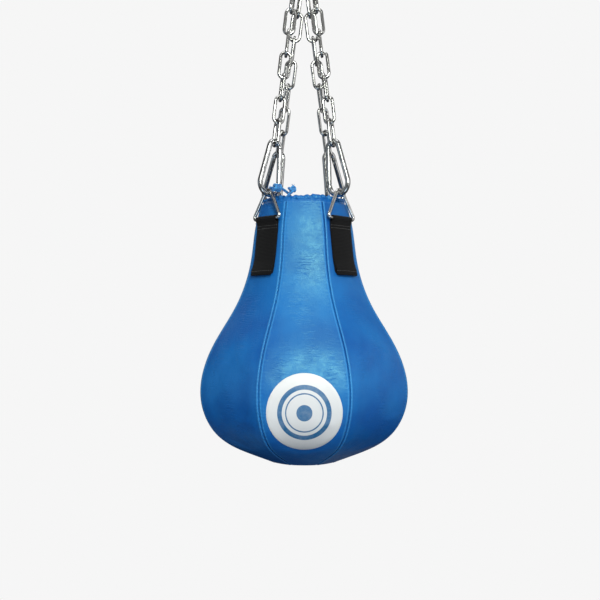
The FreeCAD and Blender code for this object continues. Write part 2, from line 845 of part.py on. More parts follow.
stem_stack = [
    "sizes.collar_thickness + sizes.collar_gap + sizes.housing_floor",
    "2 * (sizes.race_thickness - sizes.groove_depth + sizes.ball_radius + sizes.running_gap)",
    "sizes.sewn_gap + sizes.nut_height + sizes.stem_end_rise",
]
stem = cylinder("stem", "sizes.stem_radius", " + ".join(stem_stack), UP * collar_bottom)
collar = cylinder("collar", "sizes.collar_radius", "sizes.collar_thickness", UP * collar_bottom)
lower_eye = torus(
    "lower_eye",
    "sizes.lower_eye_ring_radius",
    "sizes.lower_eye_wire_radius",
    UP * lower_eye_z,
    RIGHT,
)
node(fuse("swivel_stem", [stem, collar, lower_eye]), "swivel_stem")

# ---- Free lace ends and their knots -----------------------------------------------------
# The points of each free end: azimuth in degrees, distance from the axis and height above the
# hem's centre line. Both start inside the hem's tunnel, where the rest of the lace ends.

LACE_ENDS = {
    "long": [
        (277.7, 57, 0),
        (270, 57, 0),
        (262, 57, 0),
        (251.2, 57, 0.3),
        (247, 53.6, 4.3),
        (243.4, 54.2, 9),
        (240.6, 67, 13.4),
    ],
    "short": [
        (216.3, 57, 0),
        (224, 57, 0),
        (232, 57, 0),
        (241, 57, 0.2),
        (246.6, 59.8, 2.9),
        (250.6, 60.4, 7.4),
    ],
}
LONG_KNOT = (238, 75.5, 13.6)
SHORT_KNOT = (252.4, 58.8, 12)
LONG_KNOT_HEADING = 218


def hem_point(azimuth, radius, rise):
    angle = math.radians(azimuth)
    return hem_centre + Vector(radius * math.cos(angle), radius * math.sin(angle), rise)


def lace_radii(points):
    """The largest arc that the two runs at each point allow."""
    radii = [0]
    for before, here, after in zip(points, points[1:], points[2:]):
        shorter = min((here - before).Length, (after - here).Length)
        turn = (here - before).getAngle(after - here)
        radii.append(0.45 * shorter / math.tan(turn / 2))
    return radii


for end, places in LACE_ENDS.items():
    points = [hem_point(*place) for place in places]
    radii = lace_radii(points)
    path = rounded_path(points, radii, False)
    tube = pipe(path, size("lace_radius"))
    length = sum(edge.Length for edge in path)
    expected = math.pi * size("lace_radius") ** 2 * length
    node(feature("lace_end_" + end, tube), "lace_end_" + end)
    print("lace end", end, "length", round(length, 1), "radii", [round(r, 1) for r in radii[1:]])
    print("  volume over section times length", round(tube.Volume / expected, 4))

long_knot = doc.addObject("Part::Ellipsoid", "long_knot")
long_knot.setExpression("Radius1", "sizes.long_knot_radius")
long_knot.setExpression("Radius2", "sizes.long_knot_length / 2")
long_knot.setExpression("Radius3", "sizes.long_knot_radius")
long_knot.Placement = Placement(hem_point(*LONG_KNOT), Rotation(UP, LONG_KNOT_HEADING))
node(long_knot, "lace_knot_long")

short_knot = doc.addObject("Part::Sphere", "short_knot")
short_knot.setExpression("Radius", "sizes.short_knot_radius")
short_knot.Placement = Placement(hem_point(*SHORT_KNOT), Rotation())
node(short_knot, "lace_knot_short")

doc.recompute()
for item in doc.Objects:
    if "Invalid" in item.State or "Error" in item.State:
        raise RuntimeError(f"{item.Label} failed: {item.State}")
for piece in nodes:
    shape = piece.Shape
    if shape.isNull() or not shape.isValid() or not shape.Solids:
        raise RuntimeError(f"{piece.Label} has no valid solid")

os.makedirs("parts", exist_ok=True)
for piece in nodes:
    piece.Shape.exportStep(os.path.join("parts", piece.Label + ".step"))

print("nodes", len(nodes))
print("base of the bag", round(base_z, 3))
print("swivel axis", [0, 0, ball_z], "ring in the swivel's eye", [0, 0, ring_top_z])
print("ring centre", list(ring_centre))
for corner, place, axis in gate_joints:
    print("gate hinge", corner, [round(c, 4) for c in place], [round(c, 6) for c in axis])
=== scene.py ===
import math
import random

import bmesh
import bpy
from mathutils import Matrix, Vector, noise


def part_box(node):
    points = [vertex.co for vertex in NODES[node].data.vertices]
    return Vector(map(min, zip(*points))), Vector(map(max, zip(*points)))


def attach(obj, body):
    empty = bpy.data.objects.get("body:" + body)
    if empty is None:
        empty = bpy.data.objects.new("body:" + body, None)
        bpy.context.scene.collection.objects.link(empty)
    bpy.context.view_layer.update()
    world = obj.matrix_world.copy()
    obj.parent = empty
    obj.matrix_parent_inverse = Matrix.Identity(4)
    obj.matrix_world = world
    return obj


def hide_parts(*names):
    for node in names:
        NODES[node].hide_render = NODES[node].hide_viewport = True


# A pear-shaped leather punching bag on webbing straps, delta rings, snap hooks and chains.
# Metres. +Z is up and the front faces -Y. The origin is the swivel's hanging eye.

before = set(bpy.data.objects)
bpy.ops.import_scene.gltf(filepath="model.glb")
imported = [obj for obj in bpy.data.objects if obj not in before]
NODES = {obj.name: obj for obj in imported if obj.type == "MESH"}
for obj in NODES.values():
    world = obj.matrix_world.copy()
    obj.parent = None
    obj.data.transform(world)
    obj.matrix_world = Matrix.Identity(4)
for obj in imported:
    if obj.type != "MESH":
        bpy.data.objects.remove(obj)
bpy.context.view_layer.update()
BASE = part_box("base_disc")[0].z
HEM = BASE + 0.397  # height of the hem's centre line
BRIM = BASE + 0.3919  # top edge of the panels
PANELS = ["right", "back_right", "back", "back_left", "left", "front_left", "front", "front_right"]
CORNERS = {"front_left": 225, "front_right": 315, "back_right": 45, "back_left": 135}

# ---- Helpers ------------------------------------------------------------------------------


def select_only(obj):
    if bpy.context.object and bpy.context.object.mode != "OBJECT":
        bpy.ops.object.mode_set(mode="OBJECT")
    bpy.ops.object.select_all(action="DESELECT")
    obj.select_set(True)
    bpy.context.view_layer.objects.active = obj
    return obj


def begin_edit(obj, kind="VERT"):
    select_only(obj)
    bpy.ops.object.mode_set(mode="EDIT")
    bpy.ops.mesh.select_mode(type=kind)
    bpy.ops.mesh.select_all(action="DESELECT")


def end_edit():
    bpy.ops.object.mode_set(mode="OBJECT")


def pick_verts(obj, test):
    """Selects the vertices whose place passes the test."""
    shape = bmesh.from_edit_mesh(obj.data)
    for vert in shape.verts:
        vert.select = bool(test(vert.co))
    shape.select_flush_mode()
    shape.select_flush(True)
    bmesh.update_edit_mesh(obj.data)


def pick_edges(obj, test):
    """Selects the edges whose two ends pass the test."""
    shape = bmesh.from_edit_mesh(obj.data)
    for edge in shape.edges:
        edge.select = bool(test(edge.verts[0].co, edge.verts[1].co))
    bmesh.update_edit_mesh(obj.data)


def pick_faces(obj, test):
    """Selects the faces whose centre and normal pass the test."""
    shape = bmesh.from_edit_mesh(obj.data)
    for face in shape.faces:
        face.select = bool(test(face.calc_center_median(), face.normal))
    bmesh.update_edit_mesh(obj.data)


def settle(obj, name):
    """Gives the active object its name and puts its place into its mesh."""
    select_only(obj)
    bpy.ops.object.transform_apply(location=True, rotation=True, scale=True)
    obj.name = name
    obj.data.name = name
    return obj


def apply_modifier(obj, kind, **values):
    select_only(obj)
    modifier = obj.modifiers.new(kind.lower(), kind)
    for key, value in values.items():
        setattr(modifier, key, value)
    bpy.ops.object.modifier_apply(modifier=modifier.name)


def join(objects, name):
    select_only(objects[0])
    for obj in objects:
        obj.select_set(True)
    bpy.ops.object.join()
    return settle(bpy.context.object, name)


def to_mesh(obj, name):
    select_only(obj)
    bpy.ops.object.convert(target="MESH")
    return settle(bpy.context.object, name)


def smooth(obj, angle=40):
    select_only(obj)
    bpy.ops.object.shade_smooth_by_angle(angle=math.radians(angle))


def merged_copy(name, *nodes):
    """A copy of CAD nodes with their loose triangles joined up."""
    copies = []
    for node in nodes:
        copy = bpy.data.objects.new(node, NODES[node].data.copy())
        bpy.context.scene.collection.objects.link(copy)
        copies.append(copy)
    obj = join(copies, name)
    begin_edit(obj)
    bpy.ops.mesh.select_all(action="SELECT")
    bpy.ops.mesh.remove_doubles(threshold=1e-6)
    end_edit()
    return obj


def polar(azimuth, radius, height):
    angle = math.radians(azimuth)
    return Vector((radius * math.cos(angle), radius * math.sin(angle), height))


def azimuth_of(point):
    return math.degrees(math.atan2(point.y, point.x)) % 360


def turn_between(a, b):
    """From azimuth b to azimuth a, between -180 and 180 degrees."""
    return (a - b + 180) % 360 - 180


def from_seam(point):
    """Signed distance round the bag from the nearest seam; positive towards the corner panels."""
    azimuth = azimuth_of(point)
    seam = 22.5 + 45 * round((azimuth - 22.5) / 45)
    reach = math.radians(turn_between(azimuth, seam)) * math.hypot(point.x, point.y)
    corner_is_ahead = round((seam - 22.5) / 45) % 2 == 0
    return reach if corner_is_ahead else -reach


# ---- Camera -------------------------------------------------------------------------------

camera_data = bpy.data.cameras.new("camera")
camera_data.lens = 51
camera_data.sensor_width = 36
camera_data.shift_y = 0.042
camera = bpy.data.objects.new("camera", camera_data)
camera.location = (-0.006, -1.31, BASE + 0.209)
camera.rotation_euler = (math.radians(90), 0, 0)
bpy.context.scene.collection.objects.link(camera)
bpy.context.scene.camera = camera

# ---- Lace ends and knots ------------------------------------------------------------------

LACE_RADIUS = 0.0022
BRAID_PITCH = 0.0105
STRAND_RADIUS = 0.00068
LACE_ENDS = {
    "long": [
        (277.7, 0.057, 0),
        (270, 0.057, 0),
        (262, 0.057, 0),
        (251.2, 0.057, 0.0003),
        (247, 0.0536, 0.0043),
        (243.4, 0.0542, 0.009),
        (240.6, 0.067, 0.0134),
    ],
    "short": [
        (216.3, 0.057, 0),
        (224, 0.057, 0),
        (232, 0.057, 0),
        (241, 0.057, 0.0002),
        (246.6, 0.0598, 0.0029),
        (250.6, 0.0604, 0.0074),
    ],
}


def hem_point(azimuth, radius, rise):
    return polar(azimuth, radius, HEM + rise)


def route_line(points):
    """The smooth line of a NURBS spline with those control points."""
    curve = bpy.data.curves.new("route", "CURVE")
    curve.dimensions = "3D"
    spline = curve.splines.new("NURBS")
    spline.points.add(len(points) - 1)
    for point, place in zip(spline.points, points):
        point.co = (*place, 1)
    spline.order_u = 3
    spline.use_endpoint_u = True
    spline.resolution_u = 12
    obj = bpy.data.objects.new("route", curve)
    bpy.context.scene.collection.objects.link(obj)
    bpy.context.view_layer.update()
    mesh = bpy.data.meshes.new_from_object(obj)
    line = [vert.co.copy() for vert in mesh.vertices]
    bpy.data.objects.remove(obj)
    bpy.data.meshes.remove(mesh)
    return line


def evenly(line, step):
    """Points that step along a line."""
    points, left = [line[0].copy()], step
    for a, b in zip(line, line[1:]):
        run, done = (b - a).length, 0.0
        while run - done >= left:
            done += left
            points.append(a.lerp(b, done / run))
            left = step
        left -= run - done
    return points


def braid(name, line, strand_radius=STRAND_RADIUS, radius=LACE_RADIUS):
    """Eight strands, four each way round the line, woven over and under each other."""
    step = 0.0006
    points = evenly(line, step)
    ahead = [(b - a).normalized() for a, b in zip(points, points[1:])]
    ahead.append(ahead[-1])
    side = ahead[0].orthogonal().normalized()
    sides = []
    for here in ahead:
        side = (side - here * side.dot(here)).normalized()
        sides.append(side.copy())
    curve = bpy.data.curves.new(name, "CURVE")
    curve.dimensions = "3D"
    curve.bevel_depth = strand_radius
    curve.bevel_resolution = 1
    curve.use_fill_caps = True
    lift = 0.3 * strand_radius
    middle = radius - strand_radius - lift
    for strand in range(8):
        way = 1 if strand < 4 else -1
        spline = curve.splines.new("POLY")
        spline.points.add(len(points) - 1)
        for i, place in enumerate(points):
            turn = 2 * math.pi * i * step / BRAID_PITCH
            angle = way * turn + strand % 4 * math.pi / 2
            weave = lift * way * math.sin(4 * turn + math.pi * (strand % 2))
            across = ahead[i].cross(sides[i])
            out = sides[i] * math.cos(angle) + across * math.sin(angle)
            spline.points[i].co = (*(place + out * (middle + weave)), 1)
    obj = bpy.data.objects.new(name, curve)
    bpy.context.scene.collection.objects.link(obj)
    return to_mesh(obj, name)


def barrel_knot_line(centre, heading, turns=3):
    """The cord of a barrel knot: a tight coil round its own two ends."""
    axis = polar(heading, 1, 0)
    side = axis.cross(Vector((0, 0, 1)))
    lift = Vector((0, 0, 1))
    coil = 0.0044
    pitch = 2.1 * LACE_RADIUS
    points = [centre - axis * 0.0085 + lift * 0.001]
    steps = 10 * turns
    for i in range(steps + 1):
        angle = 2 * math.pi * i / 10
        along = (i / steps - 0.5) * turns * pitch
        wander = 1 + 0.08 * math.sin(2.7 * i)
        out = side * math.cos(angle) + lift * math.sin(angle)
        points.append(centre + axis * along + out * coil * wander)
    points.append(centre + axis * 0.0092 - lift * 0.0015)
    return route_line(points)


def trefoil_line(centre, size):
    """The cord of a small overhand knot, drawn tight."""
    points = []
    for i in range(31):
        t = 2 * math.pi * i / 30
        flat = Vector((math.sin(t) + 2 * math.sin(2 * t), math.cos(t) - 2 * math.cos(2 * t), 0))
        rise = Vector((0, 0, -1.5 * math.sin(3 * t)))
        points.append(centre + (Matrix.Rotation(0.9, 3, "X") @ (flat + rise)) * size)
    return route_line(points)


def fray(name, root, heading, rise, length):
    """The brush of loose fibres at a cut end of the lace."""
    curve = bpy.data.curves.new(name, "CURVE")
    curve.dimensions = "3D"
    curve.bevel_depth = 0.00013
    curve.bevel_resolution = 0
    curve.use_fill_caps = True
    aim = polar(heading, math.cos(rise), math.sin(rise))
    draw = random.Random(7)
    for _ in range(46):
        start = Vector([draw.uniform(-1, 1) for _ in range(3)]) * 0.0011
        spread = Vector([draw.uniform(-1, 1) for _ in range(3)]) * 0.55
        reach = length * draw.uniform(0.6, 1.0)
        spline = curve.splines.new("POLY")
        spline.points.add(4)
        for i in range(5):
            t = i / 4
            droop = Vector((0, 0, -0.25 * length * t * t))
            place = root + start + (aim * t + spread * t * t) * reach + droop
            spline.points[i].co = (*place, 1)
    obj = bpy.data.objects.new(name, curve)
    bpy.context.scene.collection.objects.link(obj)
    return to_mesh(obj, name)


LONG_KNOT = hem_point(238, 0.0755, 0.0136)
SHORT_KNOT = hem_point(252.4, 0.0588, 0.012)
LONG_HEADING = 218

lace_pieces = []
for end, places in LACE_ENDS.items():
    line = route_line([hem_point(*place) for place in places])
    lace = braid("lace_" + end, line)
    if end == "long":
        knot_line = barrel_knot_line(LONG_KNOT, LONG_HEADING)
        tip_root = LONG_KNOT + polar(LONG_HEADING, 0.0085, -0.001)
        tip = fray("lace_tip_long", tip_root, LONG_HEADING, 0.3, 0.005)
    else:
        knot_line = trefoil_line(SHORT_KNOT, 0.0017)
        tip = fray("lace_tip_short", SHORT_KNOT + Vector((0.001, 0, 0.004)), 60, 1.2, 0.004)
    knot = braid("knot_" + end, knot_line)
    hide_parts("lace_end_" + end)
    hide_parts("lace_knot_" + end)
    lace_pieces += [lace, knot, tip]

# ---- Leather panels -----------------------------------------------------------------------
# Height above the base and apothem of the eight-sided section.

PROFILE = [
    (0.0, 0.046),
    (0.017, 0.086),
    (0.044, 0.1305),
    (0.100, 0.1565),
    (0.183, 0.136),
    (0.238, 0.104),
    (0.312, 0.0805),
    (0.358, 0.0745),
    (0.3919, 0.066),
]
OVERSIZE = 1.12  # the cage starts outside the bag, to be wrapped down on to it


def bag_cage():
    """The bag as an eight-sided cage of rings, seams creased, wrapped on to the CAD panels."""
    bpy.ops.mesh.primitive_circle_add(
        vertices=8,
        radius=PROFILE[0][1] * OVERSIZE,
        fill_type="NGON",
        location=(0, 0, BASE),
        rotation=(0, 0, math.radians(22.5)),
    )
    cage = bpy.context.object
    bpy.ops.object.mode_set(mode="EDIT")
    bpy.ops.mesh.select_all(action="SELECT")
    for (low, small), (high, large) in zip(PROFILE, PROFILE[1:]):
        bpy.ops.mesh.extrude_region_move(TRANSFORM_OT_translate={"value": (0, 0, high - low)})
        ratio = large / small
        bpy.ops.transform.resize(value=(ratio, ratio, 1), center_override=(0, 0, BASE + high))
    top = PROFILE[-1][0]
    bpy.ops.mesh.select_mode(type="EDGE")

    def sharp(a, b):
        level = abs(a.z - b.z) < 1e-6
        return not level or abs(a.z) < 1e-6 or abs(a.z - top) < 1e-6

    pick_edges(cage, sharp)
    bpy.ops.transform.edge_crease(value=1)
    end_edit()
    settle(cage, "bag")
    apply_modifier(cage, "SUBSURF", levels=3, render_levels=3)
    return cage


shell = merged_copy("cad_shell", *["panel_" + side for side in PANELS], "base_disc")
bag = bag_cage()
apply_modifier(bag, "SHRINKWRAP", target=shell, wrap_method="NEAREST_SURFACEPOINT")


def inflate(obj, held, pressure, cap, frames=20):
    """Cloth under pressure, held where the test says, with how far a point moves capped."""
    group = obj.vertex_groups.new(name="held")
    group.add([v.index for v in obj.data.vertices if held(v.co)], 1.0, "REPLACE")
    rest = [v.co.copy() for v in obj.data.vertices]
    modifier = obj.modifiers.new("cloth", "CLOTH")
    cloth = modifier.settings
    cloth.quality = 8
    cloth.mass = 0.4
    cloth.tension_stiffness = 40
    cloth.compression_stiffness = 40
    cloth.shear_stiffness = 20
    cloth.bending_stiffness = 8
    cloth.use_pressure = True
    cloth.uniform_pressure_force = pressure
    cloth.effector_weights.gravity = 0
    cloth.vertex_group_mass = "held"
    scene = bpy.context.scene
    for step in range(1, frames + 1):
        scene.frame_set(step)
    shaped = obj.evaluated_get(bpy.context.evaluated_depsgraph_get())
    moved = [v.co.copy() for v in shaped.data.vertices]
    obj.modifiers.remove(modifier)
    for vert, start, place in zip(obj.data.vertices, rest, moved):
        move = place - start
        if move.length > cap:
            move *= cap / move.length
        vert.co = start + move
    scene.frame_set(1)
    obj.vertex_groups.clear()


def held_by_sewing(point):
    return abs(from_seam(point)) < 0.0012 or point.z < BASE + 0.002 or point.z > BRIM - 0.002


inflate(bag, held_by_sewing, 4, 0.003)

begin_edit(bag, "FACE")
END_CAP = 0.0008  # the cage's flat ends lie within this of the base and the brim


def in_end_cap(centre, normal):
    at_an_end = centre.z < BASE + END_CAP or centre.z > BRIM - END_CAP
    return abs(normal.z) > 0.98 and at_an_end


pick_faces(bag, in_end_cap)
bpy.ops.mesh.delete(type="FACE")
bpy.ops.mesh.select_mode(type="EDGE")
pick_edges(bag, lambda a, b: abs(from_seam(a)) < 0.0004 and abs(from_seam(b)) < 0.0004)
bpy.ops.mesh.bevel(offset=0.0038, segments=4, profile=0.5, affect="EDGES")
bpy.ops.mesh.select_mode(type="VERT")
bpy.ops.mesh.select_all(action="DESELECT")
pick_verts(bag, lambda p: abs(from_seam(p)) < 0.0005)
bpy.ops.transform.shrink_fatten(value=-0.0011)
pick_verts(bag, lambda p: 0.0008 < from_seam(p) < 0.0028)
bpy.ops.transform.shrink_fatten(value=0.0007)
end_edit()


def panel_uv(obj, middle):
    """A UV map in metres: across from the panel's middle line, and height above the base."""
    layer = obj.data.uv_layers.new(name="cut")
    for loop in obj.data.loops:
        co = obj.data.vertices[loop.vertex_index].co
        across = math.radians(turn_between(azimuth_of(co), middle)) * math.hypot(co.x, co.y)
        layer.data[loop.index].uv = (across, co.z - BASE)
    near = obj.data.attributes.new("seam_gap", "FLOAT", "POINT")
    for vert in obj.data.vertices:
        near.data[vert.index].value = abs(from_seam(vert.co))


def seam_welts():
    """Narrow strips behind the seams, which the panels' edges are sewn to."""
    begin_edit(bag, "FACE")
    pick_faces(bag, lambda centre, normal: abs(from_seam(centre)) < 0.0045)
    bpy.ops.mesh.duplicate()
    bpy.ops.mesh.separate(type="SELECTED")
    end_edit()
    strips = next(o for o in bpy.context.selected_objects if o != bag)
    settle(strips, "seam_welts")
    begin_edit(strips, "FACE")
    bpy.ops.mesh.select_all(action="SELECT")
    bpy.ops.transform.shrink_fatten(value=-0.0012)
    end_edit()
    apply_modifier(strips, "SOLIDIFY", thickness=0.0012, offset=-1)
    smooth(strips, 60)
    return strips


welts = seam_welts()
leather = []
for k, side in enumerate(PANELS):
    middle = 45 * k
    begin_edit(bag, "FACE")
    pick_faces(bag, lambda centre, normal: abs(turn_between(azimuth_of(centre), middle)) < 22.5)
    bpy.ops.mesh.separate(type="SELECTED")
    end_edit()
    panel = next(o for o in bpy.context.selected_objects if o != bag)
    settle(panel, "leather_" + side)
    apply_modifier(panel, "SOLIDIFY", thickness=0.0022, offset=-1)
    apply_modifier(panel, "SUBSURF", levels=1, render_levels=1)
    smooth(panel, 60)
    panel_uv(panel, middle)
    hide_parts("panel_" + side)
    leather.append(panel)
bpy.data.objects.remove(bag)
bpy.data.objects.remove(shell)


def leather_radius(azimuth, height):
    """How far from the axis the leather's outside is, on that azimuth at that height."""
    start = polar(azimuth, 0.4, BASE + height)
    toward = polar(azimuth + 180, 1, 0)
    index = round(azimuth / 45) % 8
    hit, place, _, _ = leather[index].ray_cast(start, toward)
    return math.hypot(place.x, place.y) if hit else 0.0


# ---- Base disc ----------------------------------------------------------------------------

BASE_DISC_RADIUS = 0.0468
bpy.ops.mesh.primitive_circle_add(
    vertices=64,
    radius=BASE_DISC_RADIUS,
    fill_type="NGON",
    location=(0, 0, BASE + 0.0004),
    rotation=(0, 0, math.radians(22.5)),
)
base_leather = bpy.context.object
bpy.ops.object.mode_set(mode="EDIT")
bpy.ops.mesh.select_all(action="SELECT")
for _ in range(8):
    bpy.ops.mesh.inset(thickness=0.005, depth=0)
bpy.ops.mesh.poke()
end_edit()
settle(base_leather, "leather_base")
apply_modifier(base_leather, "SOLIDIFY", thickness=0.0022, offset=0)
apply_modifier(base_leather, "SUBSURF", levels=1, render_levels=1)
base_leather.data.transform(Matrix.Translation((0, 0, 0.0008)))
smooth(base_leather, 60)
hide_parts("base_disc")

# ---- White disc on the front --------------------------------------------------------------

DISC_HALF_WIDTH = 0.0523
DISC_HALF_HEIGHT = 0.0548
DISC_CENTRE = BASE + 0.089
bpy.ops.mesh.primitive_circle_add(
    vertices=96,
    radius=DISC_HALF_WIDTH,
    fill_type="NGON",
    location=(0, -0.2, DISC_CENTRE),
    rotation=(math.radians(90), 0, 0),
)
disc = bpy.context.object
disc.scale.y = DISC_HALF_HEIGHT / DISC_HALF_WIDTH
bpy.ops.object.mode_set(mode="EDIT")
bpy.ops.mesh.select_all(action="SELECT")
for _ in range(12):
    bpy.ops.mesh.inset(thickness=0.0041, depth=0)
bpy.ops.mesh.poke()
end_edit()
settle(disc, "white_disc")
front = leather[PANELS.index("front")]
apply_modifier(
    disc,
    "SHRINKWRAP",
    target=front,
    wrap_method="PROJECT",
    use_project_x=False,
    use_project_y=True,
    use_project_z=False,
    use_negative_direction=True,
    use_positive_direction=True,
    project_limit=0,
    offset=0.0004,
)
apply_modifier(disc, "SOLIDIFY", thickness=0.0007, offset=0)
apply_modifier(disc, "BEVEL", width=0.0003, segments=2, limit_method="ANGLE", angle_limit=math.radians(50))
smooth(disc, 50)
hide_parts("front_roundel")

# ---- Gathered hem -------------------------------------------------------------------------

HEM_RING = 0.057
HEM_ROLL = 0.0055
SKIRT_DEPTH = 0.0105
HEM_GAP = 247  # azimuth of the opening that the lace leaves through
GATHERS = [(29, 0.3, 0.13), (43, 1.9, 0.12), (67, 4.1, 0.08), (11, 2.2, 0.09)]  # folds, phase, depth


def gathered_hem():
    bpy.ops.mesh.primitive_torus_add(
        major_segments=320,
        minor_segments=20,
        major_radius=HEM_RING,
        minor_radius=HEM_ROLL,
        location=(0, 0, HEM),
    )
    hem = settle(bpy.context.object, "leather_hem")
    begin_edit(hem, "VERT")
    pick_verts(hem, lambda p: abs(turn_between(azimuth_of(p), HEM_GAP)) < 6.8)
    bpy.ops.mesh.delete(type="VERT")
    end_edit()
    for vert in hem.data.vertices:
        around = math.radians(azimuth_of(vert.co))
        flat = Vector((vert.co.x, vert.co.y, 0))
        ring = flat.normalized() * HEM_RING + Vector((0, 0, HEM))
        out = vert.co - ring
        slant = math.atan2(out.z, flat.length - HEM_RING)
        lag = 1.1 * math.sin(slant)
        fold = sum(depth * math.sin(n * around + phase + lag) for n, phase, depth in GATHERS)
        crumple = 0.22 * noise.noise(Vector((vert.co.x, vert.co.y, vert.co.z * 0.7)) * 260)
        squash = 1 - 0.12 * abs(math.sin(3 * around + 0.5))
        vert.co = ring + out * (0.93 + fold + crumple)
        vert.co.z = HEM + (vert.co.z - HEM) * squash + 0.0006 * math.sin(5 * around + 1)
    apply_modifier(hem, "SOLIDIFY", thickness=0.0012, offset=-1)
    apply_modifier(hem, "SUBSURF", levels=1, render_levels=1)
    smooth(hem, 60)
    return hem


def hem_skirt():
    """The top edge of the leather, pleated and drawn in under the hem's roll."""
    low = BRIM - 0.003
    bpy.ops.mesh.primitive_cone_add(
        vertices=256,
        radius1=0.065,
        radius2=0.059,
        depth=SKIRT_DEPTH,
        end_fill_type="NOTHING",
        location=(0, 0, low + SKIRT_DEPTH / 2),
    )
    skirt = settle(bpy.context.object, "hem_skirt")
    begin_edit(skirt, "EDGE")
    pick_edges(skirt, lambda a, b: abs(a.z - b.z) > SKIRT_DEPTH / 2)
    bpy.ops.mesh.subdivide(number_cuts=4)
    end_edit()
    for vert in skirt.data.vertices:
        azimuth = azimuth_of(vert.co)
        corner = turn_between(azimuth, 45 * round(azimuth / 45)) / 22.5
        rise = (vert.co.z - low) / SKIRT_DEPTH
        around = math.radians(azimuth)
        pleat = 0.010 * math.sin(37 * around + 1) + 0.008 * math.sin(61 * around + 2)
        grow = 1 + 0.05 * corner * corner * (1 - rise) + pleat * rise
        vert.co.x *= grow
        vert.co.y *= grow
    apply_modifier(skirt, "SOLIDIFY", thickness=0.0012, offset=-1)
    smooth(skirt, 60)
    return skirt


hem = join([gathered_hem(), hem_skirt()], "leather_hem")
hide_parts("drawstring_hem")

# ---- Webbing straps -----------------------------------------------------------------------

STRAP_WIDTH = 0.0435
LOOP_WIDTH = 0.0405
WEBBING = 0.0021
BAR_HEIGHT = 0.366
STRAP_FOOT = 0.2838
WIRE = 0.0025


def strap_route(corner, azimuth):
    """The webbing's middle line, as (out, up): up the leather, round the bar, down again."""
    low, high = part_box("delta_ring_" + corner)
    bar = (abs(low.x + high.x) / 2) * math.sqrt(2)
    inner = 0.0003 + WEBBING / 2
    outer = inner + WEBBING + 0.0002
    spans = 9
    top = BAR_HEIGHT - 0.008
    points = []
    for i in range(spans + 1):
        height = STRAP_FOOT + (top - STRAP_FOOT) * i / spans
        points.append((leather_radius(azimuth, height) + inner, height))
    loop = WIRE + 0.0001 + WEBBING / 2
    for degrees in (180, 150, 120, 90, 60, 30, 0, -25):
        angle = math.radians(degrees)
        points.append((bar + loop * math.cos(angle), BAR_HEIGHT + loop * math.sin(angle)))
    for i in range(spans + 1):
        height = top - (top - STRAP_FOOT) * i / spans
        hemmed = 0.0022 if height < STRAP_FOOT + 0.011 else 0
        points.append((leather_radius(azimuth, height) + outer + hemmed, height))
    out, up = points[-1]
    points += [(out - 0.0006, up - 0.0014), (out - 0.0017, up - 0.0006), (out - 0.0018, up + 0.009)]
    return points


def strap(corner, azimuth):
    curve = bpy.data.curves.new("webbing", "CURVE")
    curve.dimensions = "2D"
    curve.fill_mode = "NONE"
    curve.extrude = STRAP_WIDTH / 2
    spline = curve.splines.new("POLY")
    route = strap_route(corner, azimuth)
    spline.points.add(len(route) - 1)
    for point, (out, up) in zip(spline.points, route):
        point.co = (out, up, 0, 1)
    obj = bpy.data.objects.new("webbing", curve)
    bpy.context.scene.collection.objects.link(obj)
    obj = to_mesh(obj, "webbing_" + corner)
    begin_edit(obj, "EDGE")
    pick_edges(obj, lambda a, b: abs(a.z - b.z) > 0.01)
    bpy.ops.mesh.subdivide(number_cuts=11)
    end_edit()
    edge_drop = 0.0022
    for vert in obj.data.vertices:
        share = vert.co.z / (STRAP_WIDTH / 2)
        nearness = min(1.0, max(0.0, (vert.co.y - BAR_HEIGHT + 0.010) / 0.008))
        narrow = 1 + (LOOP_WIDTH / STRAP_WIDTH - 1) * nearness
        vert.co.z *= narrow
        vert.co.x -= edge_drop * share * share * (1 - nearness)
    layer = obj.data.uv_layers.new(name="weave")
    for loop in obj.data.loops:
        co = obj.data.vertices[loop.vertex_index].co
        layer.data[loop.index].uv = (co.z, co.y)
    obj.rotation_euler = (math.radians(90), 0, math.radians(azimuth))
    obj.location.z = BASE
    settle(obj, "webbing_" + corner)
    apply_modifier(obj, "SOLIDIFY", thickness=WEBBING, offset=0)
    apply_modifier(obj, "SUBSURF", levels=1, render_levels=1)
    smooth(obj, 50)
    return obj


def stitch_row(name, places):
    """Short rounded stitches at those places, each given with the way that it runs."""
    stitches = []
    for place, along, away in places:
        bpy.ops.mesh.primitive_uv_sphere_add(segments=8, ring_count=6, radius=0.5)
        stitch = bpy.context.object
        turn = Matrix((along, away.cross(along), away)).transposed().to_4x4()
        grow = Matrix.Diagonal((0.0030, 0.0009, 0.0008, 1))
        stitch.data.transform(Matrix.Translation(place) @ turn @ grow)
        stitches.append(stitch)
    row = join(stitches, name)
    smooth(row, 80)
    return row


webbing = {}
strap_stitches = {}
for corner, azimuth in CORNERS.items():
    webbing[corner] = strap(corner, azimuth)
    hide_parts("strap_" + corner)
    away = polar(azimuth, 1, 0)
    across = Vector((-away.y, away.x, 0))
    places = []
    for height in (STRAP_FOOT + 0.0045, BAR_HEIGHT - 0.0105, BAR_HEIGHT - 0.0145):
        for i in range(12):
            offset = (i - 5.5) * 0.0038
            start = away * 0.4 + across * offset + Vector((0, 0, BASE + height))
            hit, place, normal, _ = webbing[corner].ray_cast(start, -away)
            if hit:
                along = (across - normal * across.dot(normal)).normalized()
                places.append((place + normal * 0.00005, along, normal.normalized()))
    strap_stitches[corner] = stitch_row("stitches_" + corner, places)

# ---- Hem stitching ------------------------------------------------------------------------

places = []
for i in range(96):
    azimuth = i * 360 / 96 + 1
    height = 0.3895
    radius = leather_radius(azimuth, height)
    if radius:
        away = polar(azimuth, 1, 0)
        places.append((polar(azimuth, radius - 0.0001, BASE + height), Vector((-away.y, away.x, 0)), away))
hem_stitches = stitch_row("stitches_hem", places)

# ---- Inside of the bag --------------------------------------------------------------------


